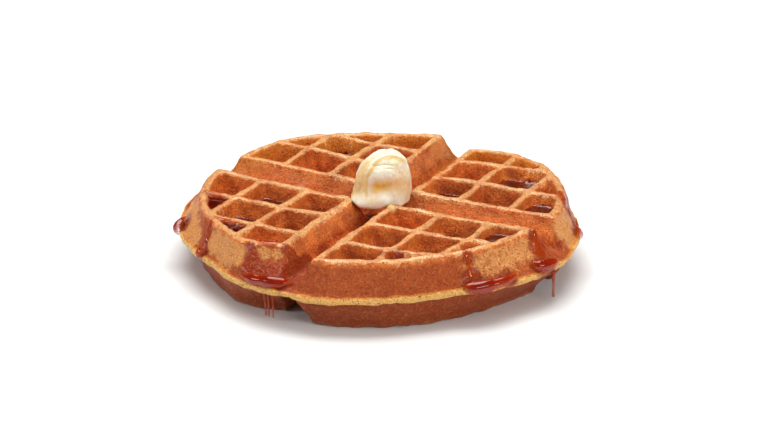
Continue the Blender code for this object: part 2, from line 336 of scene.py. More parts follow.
def sheet_quads():
    """Inner quads, and quads between each ring and the next, all facing up."""
    count = len(edge_points)
    rings = [edge_points]
    rings += [len(inner_plan) + k * count + np.arange(count) for k in range(len(ring_path))]
    bands = [
        np.stack([low, high, np.roll(high, -1), np.roll(low, -1)], axis=1)
        for low, high in zip(rings, rings[1:])
    ]
    return np.concatenate([inner_quads] + bands), rings[-1]


plan = sheet_plan()
quads, seam_ring = sheet_quads()
print("one side has", len(plan), "points and", len(quads), "quads")


# %% [markdown]
# Both halves of the iron carry the same pattern, so the underside is the upper side turned
# over. The two meet in the last ring, on the middle of the seam. Each side gets noise of
# its own: ribs a little off their line, batter that spread unevenly at the seam, and a
# crust that isn't smooth.

# %% One side of the waffle
WALL_BLEND = 4.0
RIB_UNEVEN = 0.5
SIDEWAYS = 0.85
SPREAD_LIMIT = 0.1
SPREAD_INWARD = 0.25


def pressed_side(plan, seed):
    """Height of one side: the outline, or the pattern where the iron pressed deeper."""
    x, y, outline = plan.T
    carved = THICKNESS - np.maximum(pocket_drop(x, y), groove_drop(x, y))
    blend = WALL_BLEND * smoothstep(0.0, WALL_BLEND, THICKNESS - outline)
    height = soft_min(outline, carved, blend)
    high = smoothstep(MIDDLE + 3.0, MIDDLE + 9.0, height)
    uneven = value_noise(np.stack([x, y, 0 * x], axis=1), 13.0, seed)
    return height + RIB_UNEVEN * uneven * high


def unevenness(points, seam):
    """Shifts ribs sideways by slow noise, and the seam inwards, up and down by faster."""
    x, y, z = points.T
    flat = np.stack([x, y, 0.15 * z], axis=1)
    slow_x, slow_y = [SIDEWAYS * value_noise(flat, 15.0, seed) for seed in (11, 12)]
    spread = 0.55 * value_noise(flat, 6.0, 13) + 0.3 * value_noise(flat, 2.4, 14)
    spread = np.minimum(spread, SPREAD_LIMIT) - SPREAD_INWARD
    sag = 0.5 * value_noise(flat, 11.0, 15)
    out = seam * spread / np.maximum(np.hypot(x, y), 1.0)
    return points + np.stack([slow_x + out * x, slow_y + out * y, seam * sag], axis=1)


# %% Both sides as one closed shape
def crust_points():
    """The upper side, then the underside without the seam's middle ring, which they share."""
    upper = np.column_stack([plan[:, :2], pressed_side(plan, 21)])
    under = np.column_stack([plan[:, :2], THICKNESS - pressed_side(plan, 22)])
    under[:, 2] = np.maximum(under[:, 2], 0.0)
    private = np.ones(len(plan), bool)
    private[seam_ring] = False
    under_numbers = np.empty(len(plan), int)
    under_numbers[private] = len(plan) + np.arange(private.sum())
    under_numbers[seam_ring] = seam_ring
    faces = np.concatenate([quads, under_numbers[quads][:, ::-1]])
    return np.concatenate([upper, under[private]]), faces


true_round, crust_faces = crust_points()
radius_all = np.hypot(true_round[:, 0], true_round[:, 1])
seam_share = smoothstep(WALL_FOOT - 1.0, SEAM_RADIUS - 0.6, radius_all)
crust_shape = baked_place(unevenness(true_round, seam_share))
print("whole crust has", len(true_round), "points and", len(crust_faces), "quads")


# %% A crust that isn't smooth
def vertex_normals(points, faces):
    """Area-weighted normals: each face's diagonals are crossed and summed at its corners."""
    a, b, c, d = [points[faces[:, i]] for i in range(4)]
    face_normals = np.cross(c - a, d - b)
    total = np.zeros_like(points)
    for i in range(4):
        np.add.at(total, faces[:, i], face_normals)
    return unit(total)


def rough_crust(points, faces):
    """Pushes the crust in and out along its normals by two sizes of fine noise."""
    relief = 0.36 * value_noise(points, 3.4, 31) + 0.17 * value_noise(points, 1.5, 32)
    return points + vertex_normals(points, faces) * relief[:, None]


def within_frame(points):
    """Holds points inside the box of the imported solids."""
    return np.clip(points, np.array(cad_box[0]) / MM, np.array(cad_box[1]) / MM)


crust_shape = within_frame(rough_crust(crust_shape, crust_faces))
print("crust box in mm:", crust_shape.min(axis=0).round(1), crust_shape.max(axis=0).round(1))


# %% Make a mesh piece from arrays in millimetres
def new_object(name, data):
    """An object of this name, linked to the scene."""
    made = bpy.data.objects.new(name, data)
    bpy.context.scene.collection.objects.link(made)
    return made


def make_piece(name, points, faces, material, looks):
    """A piece that rides on the root body, at the origin, its points turned to metres.

    Each look is one number for every point, which the material reads by its name.
    """
    mesh = bpy.data.meshes.new(name)
    mesh.from_pydata((points * MM).tolist(), [], [list(face) for face in faces])
    mesh.polygons.foreach_set("use_smooth", np.ones(len(faces), bool))
    mesh.materials.append(material)
    mesh.update()
    for look, values in looks.items():
        attribute = mesh.attributes.new(look, "FLOAT", "POINT")
        attribute.data.foreach_set("value", values.astype(np.float32))
    piece = new_object(name, mesh)
    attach(piece, "root")
    print(name, "has", sum(len(p.vertices) - 2 for p in mesh.polygons), "triangles")
    return piece


# %% [markdown]
# A crust isn't one brown. Where the iron pressed hardest, on floors and walls, it is deep
# orange; rib tops stay peach and carry a painted highlight, the underside is darkened as
# painted shade, the seam never touched the iron and stays pale, and syrup darkens what it
# soaks into. Each of these is a number kept at every point of the mesh, and the material
# mixes its colours by them. That is easier to place than masks built from nodes, and it
# exports.

# %% Where the crust is pale, deep, dry or soaked
def near_spots(points, spots):
    """1 at the middle of each spot (x, y, z, radius), falling smoothly to 0 at its radius."""
    share = np.zeros(len(points))
    for x, y, z, radius in spots:
        distance = np.linalg.norm(points - (x, y, z), axis=1)
        share = np.maximum(share, 1.0 - smoothstep(0.35 * radius, radius, distance))
    return share


DRY_SPOTS = [
    (-82, -36, 22, 10), (-75, -45, 23, 12), (-69, -53, 20, 10), (-63, -60, 19, 8),
    (-46, -71, 24, 9), (-37, -77, 24, 13), (-30, -79, 24, 9), (-16, -79, 27.5, 5),
    (-10.8, -77.6, 27.5, 4.5),
    (67, -43, 25, 11), (73, -34, 24, 13), (77, -24, 25, 10), (80, -17, 25, 8),
    (82, 12, 26, 12), (86, 15, 20, 11), (80, 25, 26, 9),
]
DRYNESS = {0: 1.0, 290: 1.0, 305: 0.7, 342: 0.7, 352: 1.0, 360: 1.0}
WET_SPOTS = [
    (-23.3, -79, 28.5, 4), (-22.3, -80, 26.3, 5), (-20.8, -81.5, 24, 5.5), (-20.5, -84, 20, 7),
    (-15, -84.5, 19.5, 8), (-9, -83.5, 20, 8.5), (-3.5, -80.5, 20, 9), (0, -79, 18, 9), (-1, -86, 16, 8),
    (-7.5, -75, 28.5, 4.5), (-5.5, -73, 25, 6), (-4, -70, 20, 7), (-54, -65, 24, 6), (-54, -70, 18, 6),
    (-78, -48, 19, 9), (64, -46, 27, 5), (67, -48, 20, 7), (73, -49, 17, 8), (79, -37, 18, 7),
    (79, -10, 28, 5), (82, -12, 23, 7), (88, -18, 17, 9), (79, 31, 27, 8), (82, 35, 19, 9),
    (38, -61, 29, 6), (-4, -64, 18, 8), (-4, -48, 18, 8), (5, 55, 22, 12),
]
depth = np.minimum(THICKNESS - true_round[:, 2], true_round[:, 2])
outer = smoothstep(RIM_EDGE - 0.5, RIM_EDGE + 1.2, radius_all)
in_groove = groove_drop(*true_round[:, :2].T)
slow = value_noise(crust_shape, 9.0, 41)
patchy = value_noise(crust_shape, 16.0, 42)
toward_far = by_direction({40: 0.0, 60: 1.0, 170: 1.0, 190: 0.0}, *true_round[:, :2].T)
crust_looks = {
    # crown: paler rib tops, their own colour lightened further as a painted highlight
    "crown": 1.0 - smoothstep(0.1, 1.1 + 0.5 * slow + 1.2 * outer, depth),
    "deep": smoothstep(1.4, 7.0, depth) * (1.0 - outer) * np.clip(0.75 + 0.5 * patchy, 0.0, 1.0),
    "seam": smoothstep(WALL_FOOT + 0.1, SEAM_RADIUS - 0.5, radius_all),
    "seam_edge": smoothstep(SEAM_RADIUS - 0.7, SEAM_RADIUS + 0.1, radius_all),
    "outer": outer * smoothstep(0.8, 4.0, depth),
    "golden": toward_far * smoothstep(60.0, 74.0, radius_all),
    "tan": smoothstep(0.6, 2.5, in_groove) * (1.0 - smoothstep(7.5, 11.5, in_groove)) * (1.0 - outer),
    "dry": near_spots(crust_shape, DRY_SPOTS) * outer * by_direction(DRYNESS, *true_round[:, :2].T),
    "wet": near_spots(crust_shape, WET_SPOTS),
    # under: painted shade that darkens the lower half of the crust
    "under": smoothstep(MIDDLE, MIDDLE - 3.0, true_round[:, 2]),
}
for name, values in crust_looks.items():
    print(name, "covers", round(100 * float(values.mean()), 1), "percent of the points")

# %% [markdown]
# Colours are written as a picture shows them, 0 to 255, and turned into the linear values
# that Blender calculates with. Small helpers add a node and fill its sockets, each with a
# number or with a link, so that every material below reads from top to bottom.

# %% Helpers for node trees
def srgb(red, green, blue):
    """The linear colour of a picture's 0 to 255 values: the sRGB curve, undone."""
    share = np.array([red, green, blue]) / 255.0
    linear = np.where(share <= 0.04045, share / 12.92, ((share + 0.055) / 1.055) ** 2.4)
    return (*linear.tolist(), 1.0)


def fill(tree, sockets, values):
    """Links each value that is a socket, and sets each that is a plain number or colour."""
    for name, value in values.items():
        if isinstance(value, bpy.types.NodeSocket):
            tree.links.new(value, sockets[name])
        else:
            sockets[name].default_value = value


def add_node(tree, kind, values=None, **settings):
    """A node with its settings and its filled sockets."""
    node = tree.nodes.new(kind)
    for name, value in settings.items():
        setattr(node, name, value)
    fill(tree, node.inputs, values or {})
    return node


def maths(tree, operation, *values, clamp=False):
    """The result of one Math node."""
    sockets = dict(enumerate(values))
    return add_node(tree, "ShaderNodeMath", sockets, operation=operation, use_clamp=clamp).outputs[0]


def times(tree, a, b, clamp=False):
    """a times b."""
    return maths(tree, "MULTIPLY", a, b, clamp=clamp)


def times_plus(tree, a, b, c):
    """a times b, plus c."""
    return maths(tree, "MULTIPLY_ADD", a, b, c)


def ramp(tree, value, start, end, first=0.0, last=1.0, kind="LINEAR"):
    """The first result up to start, the last from end on, and a straight or S-shaped way between."""
    values = {"Value": value, "From Min": start, "From Max": end, "To Min": first, "To Max": last}
    return add_node(tree, "ShaderNodeMapRange", values, interpolation_type=kind).outputs["Result"]


def noise(tree, place, scale, detail, roughness=0.5):
    """Noise from 0 to 1, its bumps about 1 / scale metres apart."""
    values = {"Vector": place, "Scale": scale, "Detail": detail, "Roughness": roughness}
    return add_node(tree, "ShaderNodeTexNoise", values).outputs["Fac"]


def bumped(tree, height, strength, distance):
    """The normal tipped by a height, which stands for up to so many metres."""
    values = {"Strength": strength, "Distance": distance, "Height": height}
    return add_node(tree, "ShaderNodeBump", values).outputs["Normal"]


# %% Helpers for colours, groups and materials
def mix_colours(tree, mask, first, second):
    """The first colour where the mask is 0, the second where it is 1."""
    node = add_node(tree, "ShaderNodeMix", data_type="RGBA")
    sockets = {socket.identifier: socket for socket in node.inputs}
    fill(tree, sockets, {"Factor_Float": mask, "A_Color": first, "B_Color": second})
    return next(o for o in node.outputs if o.identifier == "Result_Color")


def named_value(tree, name):
    """Reads one of the numbers kept at the mesh's points."""
    return add_node(tree, "ShaderNodeAttribute", attribute_name=name).outputs["Fac"]


def object_place(tree):
    """The place on the piece, in metres."""
    return add_node(tree, "ShaderNodeTexCoord").outputs["Object"]


def new_group(name, inputs, outputs):
    """An empty node group with these named sockets, and its two ends."""
    tree = bpy.data.node_groups.new(name, "ShaderNodeTree")
    for direction, sockets in (("INPUT", inputs), ("OUTPUT", outputs)):
        for socket, kind in sockets.items():
            tree.interface.new_socket(socket, in_out=direction, socket_type="NodeSocket" + kind)
    return tree, tree.nodes.new("NodeGroupInput"), tree.nodes.new("NodeGroupOutput")


def use_group(tree, group, values):
    """Places a node group in a material with its own values, and gives its outputs."""
    return add_node(tree, "ShaderNodeGroup", values, node_tree=group).outputs


def new_material(name):
    """A material with its node tree and its Principled BSDF."""
    material = bpy.data.materials.new(name)
    material.use_nodes = True
    return material, material.node_tree, material.node_tree.nodes["Principled BSDF"]


# %% [markdown]
# Two effects come back in several materials. One is the unevenness of cooked food: broad
# blotches, a fine grain and small specks, all three noise at different scales on the
# object's own coordinates. The other breaks a smooth mask up, so that a patch ends in a
# ragged edge instead of fading like sprayed paint, and nothing shows where the mask is 0.

# %% Node group for blotches, grain and specks
def make_unevenness_group():
    """Blotches and grain are noise, and a speck is a dot at the middle of each Voronoi cell."""
    results = dict.fromkeys(("Blotches", "Grain", "Specks"), "Float")
    scales = dict.fromkeys(("Blotch Scale", "Grain Scale", "Speck Scale"), "Float")
    tree, start, end = new_group("cooked_unevenness", {"Position": "Vector", **scales}, results)
    ins = start.outputs
    place = ins["Position"]
    blotches = noise(tree, place, ins["Blotch Scale"], 4.0, 0.6)
    cells = add_node(tree, "ShaderNodeTexVoronoi", {"Vector": place, "Scale": ins["Speck Scale"]})
    fill(tree, end.inputs, {
        "Blotches": ramp(tree, blotches, 0.32, 0.68, kind="SMOOTHSTEP"),
        "Grain": noise(tree, place, ins["Grain Scale"], 3.0, 0.55),
        "Specks": ramp(tree, cells.outputs["Distance"], 0.12, 0.34, 1.0, 0.0),
    })
    return tree


# %% Node group that breaks up a mask
def make_ragged_group():
    """Mask plus centred noise times Break, cut by an S curve, faded out where the mask nears 0."""
    inputs = dict.fromkeys(("Mask", "Noise", "Break", "Strength"), "Float")
    tree, start, end = new_group("ragged_mask", inputs, {"Mask": "Float"})
    ins = start.outputs
    centred = maths(tree, "SUBTRACT", ins["Noise"], 0.5)
    edge = ramp(tree, times_plus(tree, centred, ins["Break"], ins["Mask"]), 0.15, 0.85, kind="SMOOTHSTEP")
    kept = times(tree, edge, times(tree, ins["Mask"], 6.0, clamp=True))
    fill(tree, end.inputs, {"Mask": times(tree, kept, ins["Strength"])})
    return tree


# %% Make both groups and name what they give
unevenness_group = make_unevenness_group()
ragged_group = make_ragged_group()
print("node groups:", [group.name for group in bpy.data.node_groups])


def cooked(tree, place, blotches, grain, specks):
    """The unevenness group with its three scales."""
    values = {"Position": place, "Blotch Scale": blotches, "Grain Scale": grain, "Speck Scale": specks}
    return use_group(tree, unevenness_group, values)


def ragged(tree, name, breaker, broken, strength):
    """One of the numbers kept at the points, as a mask whose edge a noise breaks up."""
    values = {"Mask": named_value(tree, name), "Noise": breaker, "Break": broken, "Strength": strength}
    return use_group(tree, ragged_group, values)["Mask"]


# %% [markdown]
# The crust material starts from baked orange and lays the other colours over it in turn:
# deep floors with darker runs, the outer wall, paler rib tops that also carry a painted
# highlight, dry patches, painted shade on the underside, the seam and what syrup soaked.
# Specks, grain and pores come last. Syrup that soaked in also leaves a shine, and so does
# butter on the ribs, so their masks lower the roughness and add a thin clear coat.

# %% Crust material
def make_crust_material():
    """Masked colours over each other, then roughness and coat from masks, and a fine bump."""
    material, tree, shader = new_material("baked_crust")
    place = object_place(tree)
    broad = cooked(tree, place, 120.0, 900.0, 1100.0)
    close = cooked(tree, place, 420.0, 2200.0, 300.0)
    broad_blotches, close_blotches = broad["Blotches"], close["Blotches"]
    deep, crown = named_value(tree, "deep"), named_value(tree, "crown")

    def lay(below, layers):
        """Mixes in each row: look, colour, strength, how broken its edge is, and by what noise."""
        for name, colour, strength, broken, breaker in layers:
            mask = ragged(tree, name, breaker, broken, strength)
            below = mix_colours(tree, mask, below, srgb(*colour))
        return below

    upright = add_node(tree, "ShaderNodeMapping", {"Vector": place, "Scale": (1.0, 1.0, 0.12)})
    runs = ramp(tree, noise(tree, upright.outputs["Vector"], 380.0, 3.0), 0.45, 0.7, kind="SMOOTHSTEP")
    colour = mix_colours(tree, broad_blotches, srgb(182, 80, 26), srgb(232, 126, 50))
    colour = mix_colours(tree, times(tree, close_blotches, 0.42), colour, srgb(184, 80, 20))
    colour = lay(colour, [("deep", (246, 130, 54), 0.85, 0.7, broad_blotches)])
    colour = mix_colours(tree, times(tree, times(tree, runs, deep), 0.55), colour, srgb(156, 52, 16))
    colour = lay(colour, [
        ("outer", (154, 58, 16), 0.7, 0.35, broad_blotches),
        ("golden", (214, 128, 26), 0.6, 0.9, broad_blotches),
        ("tan", (226, 146, 84), 0.34, 1.0, broad_blotches),
        # crown: paler rib tops with a painted highlight laid into their colour
        ("crown", (248, 190, 124), times_plus(tree, broad_blotches, 0.4, 0.5), 0.9, close_blotches),
        ("dry", (224, 154, 86), 0.9, 0.6, close_blotches),
        # under: painted shade on the lower half
        ("under", (134, 50, 14), 0.75, 0.6, broad_blotches),
        ("seam", (212, 136, 50), 0.85, 0.8, broad_blotches),
        ("seam_edge", (234, 184, 104), 0.9, 0.7, close_blotches),
        ("wet", (146, 40, 6), 0.9, 0.5, broad_blotches),
    ])
    speck_strength = times_plus(tree, named_value(tree, "dry"), 0.2, 0.15)
    specks = times(tree, times(tree, broad["Specks"], speck_strength), close_blotches)
    pores = times(tree, maths(tree, "GREATER_THAN", close["Specks"], 0.97), 0.7)
    for mask, shade in (
        (specks, (132, 62, 24)),
        (ramp(tree, close["Grain"], 0.5, 0.64, 0.0, 0.7), (120, 46, 12)),
        (ramp(tree, broad["Grain"], 0.52, 0.70, 0.0, 0.2), (236, 160, 84)),
        (pores, (110, 48, 20)),
    ):
        colour = mix_colours(tree, mask, colour, srgb(*shade))

    wet = ragged(tree, "wet", broad_blotches, 0.6, 1.0)
    matt = times_plus(tree, crown, -0.12, 0.52)
    matt = maths(tree, "SUBTRACT", matt, times(tree, broad_blotches, 0.15))
    film = times_plus(tree, wet, 0.2, times(tree, deep, 0.12))
    film = times_plus(tree, crown, times_plus(tree, broad_blotches, 0.6, 0.2), film)
    height = times_plus(tree, broad["Specks"], -0.5, broad["Grain"])
    height = times_plus(tree, pores, -2.0, height)
    fill(tree, shader.inputs, {
        "Base Color": colour,
        "Roughness": times_plus(tree, wet, -0.15, matt),
        "Coat Weight": maths(tree, "MINIMUM", film, 1.0),
        "Coat Roughness": 0.14,
        "Specular IOR Level": 0.3,
        "Normal": bumped(tree, height, 0.9, 0.0011),
    })
    return material


baked_crust = make_crust_material()
crust_piece = make_piece("waffle_crust", crust_shape, crust_faces, baked_crust, crust_looks)
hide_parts("waffle")

# %% [markdown]
# The butter is a scoop set down with its flat side to the front, already slumping. Its
# outline is a half ellipse that leans over as it rises. Everything else is relief pushed in
# or out of that face: a thin lip all round, a second layer inside it, a crack under which a
# ledge sticks out, the hollow that the scoop's lip left, and a soft foot where it melts.
# The face is described in two shares, h across and v up, both -1 to 1, as seen from the
# front at the camera's angle, since that is how a scoop's marks are easiest to measure.

# %% Outline of the butter
FRONT = np.array([0.4548, -0.8906, 0.0])
ACROSS = np.array([0.8906, 0.4548, 0.0])
UP = np.array([0.0, 0.0, 1.0])
BUTTER_BASE = 30.2
BUTTER_TOP = 52.3
BUTTER_HALF_WIDTH = 13.3
BUTTER_HALF_DEPTH = 12.6
BUTTER_LEAN = 2.6
BUTTER_SAG = 5.0
BUTTER_DROOP = 1.6
BUTTER_CENTRE = 38.0 * UP
VIEW_RISE = 0.935
VIEW_DEPTH = 0.354
FACE_HEIGHT = 14.4
FACE_MIDDLE = 36.3


def butter_grid(around_steps=260, rise_steps=130, under_steps=30):
    """Rows of a dome, its radius sqrt(1 - height^2.6), then rows of the sagging underside."""
    around = np.linspace(0.0, 2.0 * math.pi, around_steps, endpoint=False)
    rise = np.linspace(math.pi / 2.0, 0.0, rise_steps + 1)[1:]
    share = np.sqrt(1.0 - np.sin(rise) ** 2.6)
    height = BUTTER_BASE + (BUTTER_TOP - BUTTER_BASE) * np.sin(rise)
    lean = BUTTER_LEAN * np.sin(rise) ** 3
    inward = np.linspace(1.0, 0.0, under_steps + 1)[1:-1]
    share = np.concatenate([share, inward])
    sag = BUTTER_SAG * (1.0 - smoothstep(0.2, 0.75, inward))
    height = np.concatenate([height, BUTTER_BASE - 0.3 - sag])
    lean = np.concatenate([lean, np.zeros(len(inward))])
    side = share[:, None] * BUTTER_HALF_WIDTH * np.cos(around) + lean[:, None]
    deep = share[:, None] * BUTTER_HALF_DEPTH * np.sin(around)
    level = np.broadcast_to(height[:, None], side.shape)
    return side[..., None] * ACROSS + deep[..., None] * FRONT + level[..., None] * UP


def closed_grid_faces(rows, columns):
    """Quads between rows that close round, and a fan of triangles at each of the two poles."""
    numbers = 1 + np.arange(rows * columns).reshape(rows, columns)
    following = np.roll(numbers, -1, axis=1)
    quads = np.stack([numbers[:-1], numbers[1:], following[1:], following[:-1]], axis=-1).reshape(-1, 4)
    top = np.stack([np.zeros(columns, int), numbers[0], following[0]], axis=1)
    last = 1 + rows * columns
    foot = np.stack([np.full(columns, last), following[-1], numbers[-1]], axis=1)
    return quads.tolist() + top.tolist() + foot.tolist()


# %% Relief of the butter's face
def hump(value, middle, width):
    """1 at the middle, fading to 0 over about two widths, as a bell curve."""
    return np.exp(-((value - middle) / width) ** 2)


def butter_relief(points):
    """Push in mm along the normal, and masks of painted shade and glow: the hollow's, and the yellow one of
    grooves and outline.
    """
    h = points @ ACROSS / BUTTER_HALF_WIDTH
    toward = points @ FRONT
    v = (points[:, 2] * VIEW_RISE - toward * VIEW_DEPTH - FACE_MIDDLE) / FACE_HEIGHT
    facing = smoothstep(-1.0, 4.0, toward)
    wobble = 0.05 * value_noise(points, 5.0, 51)
    off_lean = h - 0.13 * (v + 1.0)
    rim = np.hypot(off_lean, np.maximum(v, 0.0)) + 0.4 * wobble
    inner = np.hypot((h - 0.25 * (v + 0.1) - 0.2) / 0.82, (v + 0.10) / 0.78) + 1.4 * wobble
    above_foot = smoothstep(-0.75, -0.45, v)
    lip = 0.35 * hump(rim, 0.95, 0.035) - 0.3 * hump(rim, 0.86, 0.05)
    step = -0.8 * (1.0 - smoothstep(0.88, 1.02, inner)) - 0.4 * hump(inner, 0.99, 0.045)
    crack_line = 0.42 - 0.7 * (h - 0.03) ** 2 + 1.6 * wobble
    crack_ends = smoothstep(-0.45, -0.1, h) * (1.0 - smoothstep(0.1, 0.5, h))
    crack = -0.6 * hump(v, crack_line, 0.03) * crack_ends
    short_crack = -0.45 * hump(v, 0.25 + wobble, 0.025) * hump(h, 0.2, 0.14)
    nick = -0.5 * hump(h, 0.6 + wobble, 0.03) * hump(v, 0.13, 0.09)
    ledge = 0.3 * hump(v, 0.14, 0.2) * hump(h, 0.2, 0.7)
    across = v - 0.05 * h + 0.8 * wobble
    hollow = smoothstep(-0.76, -0.26, across) * (1.0 - smoothstep(-0.34, 0.02, across))
    hollow *= smoothstep(-0.76, -0.18, h) * (1.0 - 0.6 * smoothstep(-0.1, 0.85, h))
    foot = 1.2 * hump(v, -0.72, 0.2) * (1.0 - smoothstep(0.0, 0.4, h)) + 0.2 * hump(v, -0.8, 0.2)
    lumps = 0.35 * value_noise(points, 3.0, 52) + 0.2 * value_noise(points, 1.3, 53)
    within = 1.0 - smoothstep(0.78, 0.97, np.abs(h - 0.13 * v))
    face = lip + (step + ledge) * within + crack + short_crack + nick
    face = face * above_foot - 1.5 * hollow + foot
    # low_right: painted shade low on the right of the face
    low_right = smoothstep(0.3, 0.6, h) * (1.0 - smoothstep(0.2, 0.5, v))
    # left_band: yellower where the butter softens on the left, partly a painted glow of light through it
    left_band = smoothstep(0.45, 0.85, rim) * (1.0 - smoothstep(-0.6, -0.1, h))
    # groove: yellow painted shade in the lip groove, the inner step and the crack, and a painted glow along
    # the outline
    groove = np.maximum.reduce([
        0.5 * hump(rim, 0.86, 0.04), hump(inner, 0.97, 0.07) * (1.0 - low_right),
        0.5 * hump(v, crack_line, 0.03) * crack_ends,
        smoothstep(0.93, 1.0, rim), 0.7 * left_band, 0.45 * low_right,
    ])
    behind = 1.0 - smoothstep(-9.0, -3.0, toward)
    back_fold = 0.4 * np.sin(0.9 * points[:, 2] + 1.4 * h) * behind
    push = face * facing + lumps * (0.5 + 0.5 * above_foot) + back_fold
    return push, hollow * facing, groove * facing * above_foot


# %% Mesh of the butter
def make_butter_mesh():
    """The dome with its relief pushed out along the normals, spread and drooping at the foot."""
    grid = butter_grid()
    rows, columns = grid.shape[:2]
    along = np.gradient(grid, axis=0)
    around = np.roll(grid, -1, axis=1) - np.roll(grid, 1, axis=1)
    normals = unit(np.cross(along, around).reshape(-1, 3))
    flat = grid.reshape(-1, 3)
    normals *= np.sign((normals * (flat - BUTTER_CENTRE)).sum(axis=1).mean())
    push, hollow, groove = butter_relief(flat)
    from_rim = smoothstep(BUTTER_BASE - 1.0, BUTTER_BASE + 1.0, flat[:, 2])
    moved = flat + normals * (push * from_rim)[:, None]
    sides = value_noise(flat, 6.0, 54)
    leftward = 1.0 - smoothstep(-4.0, 6.0, flat @ ACROSS)
    low = 1.0 - smoothstep(BUTTER_BASE, BUTTER_BASE + 5.0, flat[:, 2])
    spread = (0.16 * leftward - 0.08) * low
    moved[:, :2] *= (1.0 + spread * (1.0 + sides))[:, None]
    over_groove = groove_drop(moved[:, 0], moved[:, 1]) / GROOVE_WALL[1, -1]
    near_base = hump(flat[:, 2], BUTTER_BASE - 0.5, 3.0)
    outward = smoothstep(6.0, 11.0, np.hypot(moved[:, 0], moved[:, 1]))
    moved[:, 2] -= BUTTER_DROOP * smoothstep(0.1, 0.9, over_groove) * near_base * outward
    poles = [grid[0].mean(axis=0), grid[-1].mean(axis=0)]
    points = np.concatenate([[poles[0]], moved, [poles[1]]])
    masks = [np.concatenate([[0.0], mask, [0.0]]) for mask in (hollow, groove)]
    return points, closed_grid_faces(rows, columns), masks


# %% Butter material
def make_butter_material():
    """Cream colours in blotches, yellow painted shade and glow in grooves and the hollow, with light let
    in.
    """
    material, tree, shader = new_material("soft_butter")
    uneven = cooked(tree, object_place(tree), 150.0, 700.0, 900.0)
    blotches = uneven["Blotches"]
    colour = mix_colours(tree, blotches, srgb(224, 210, 172), srgb(236, 234, 222))
    # Yellow painted shade in the grooves and a painted glow along the outline
    colour = mix_colours(tree, ragged(tree, "groove", blotches, 0.35, 0.7), colour, srgb(224, 178, 78))
    # The hollow's golden colour is painted shadow under the ledge, warmed as light through butter would be
    hollow = times(tree, named_value(tree, "hollow"), 1.1, clamp=True)
    fill(tree, shader.inputs, {
        "Base Color": mix_colours(tree, hollow, colour, srgb(220, 166, 66)),
        "Roughness": times_plus(tree, blotches, 0.15, 0.28),
        "Subsurface Weight": 0.5,
        "Subsurface Radius": (1.0, 0.7, 0.3),
        "Subsurface Scale": 0.003,
        "Normal": bumped(tree, uneven["Grain"], 0.25, 0.0005),
    })
    return material


# %% Butter piece
# The butter's two colour masks hold painted shade and glow
butter_points, butter_faces, (hollow_shade_mask, groove_shade_mask) = make_butter_mesh()
butter_looks = {"hollow": hollow_shade_mask, "groove": groove_shade_mask}
soft_butter = make_butter_material()
butter_piece = make_piece("butter_scoop", butter_points, butter_faces, soft_butter, butter_looks)
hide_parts("butter")
print("butter box in mm:", butter_points.min(axis=0).round(1), butter_points.max(axis=0).round(1))

# %% [markdown]
# Syrup clings. It lies in puddles on the ribs, runs down the wall in streaks, stands in
# pockets, and hangs in fat beads where the seam holds it up. All of that is made from the
# crust's own faces: each point is moved out along its normal by the syrup's thickness
# there. Outside its outline the thickness drops below zero, so that the sheet dives into
# the crust, and the outline is simply where it comes out. A copy a little further down
# closes the sheet into a solid.

# %% Thickness of a run of syrup
def along_path(points, stops):
    """Distance to a path of stops (x, y, z, half width), as a share of the width there."""
    stops = np.array(stops, float)
    best = np.full(len(points), 9.0)
    for start, end in zip(stops, stops[1:]):
        leg = end[:3] - start[:3]
        t = np.clip((points - start[:3]) @ leg / max(float(leg @ leg), TINY), 0.0, 1.0)
        gap = np.linalg.norm(points - (start[:3] + t[:, None] * leg), axis=1)
        best = np.minimum(best, gap / (start[3] + t * (end[3] - start[3])))
    return best


SUNK = 0.35
SHEET_UNDER = 0.9


def run_thickness(points, stops, height, wobble):
    """Height times a round cap, 1 - d^2, inside the outline, and sinking under the crust outside."""
    share = along_path(points, stops) + wobble
    inside = height * np.clip(1.0 - share ** 2, 0.0, 1.0) ** 0.8
    outside = -SUNK * smoothstep(1.0, 1.35, share)
    return np.where(share < 1.0, inside, outside)


# %% Syrup sheet over part of the crust
crust_normals = vertex_normals(crust_shape, crust_faces)


def coat(thickness, stands_level):
    """The faces where thickness shows, moved out by it, closed by a copy inside the crust."""
    picked = (thickness[crust_faces] > -SUNK + 0.01).any(axis=1)
    faces = crust_faces[picked]
    used, inverse = np.unique(faces, return_inverse=True)
    faces = inverse.reshape(-1, 4)
    count = len(used)
    rise = thickness[used][:, None]
    straight_up = stands_level[used][:, None] & (rise > 0.0)
    direction = np.where(straight_up, UP, crust_normals[used])
    top = crust_shape[used] + direction * rise
    under = crust_shape[used] - crust_normals[used] * SHEET_UNDER
    edges = np.concatenate([faces[:, [i, (i + 1) % 4]] for i in range(4)])
    keys, counts = np.unique(np.sort(edges, axis=1), axis=0, return_counts=True)
    single = {tuple(k) for k in keys[counts == 1].tolist()}
    rim = np.array([e for e in edges.tolist() if tuple(sorted(e)) in single])
    walls = np.stack([rim[:, 1], rim[:, 0], rim[:, 0] + count, rim[:, 1] + count], axis=1)
    all_faces = np.concatenate([faces, faces[:, ::-1] + count, walls])
    values = np.concatenate([thickness[used], np.full(count, -SUNK)])
    return np.concatenate([top, under]), all_faces, values


# %% [markdown]
# The places of the syrup are read off the waffle as it lies, in millimetres. A run has its
# height and a few stops, each a place and the half width there. A bead has its flatness
# and stops with a radius, a strand only those stops, and a pool the middle of its pocket
# and the level of its surface.

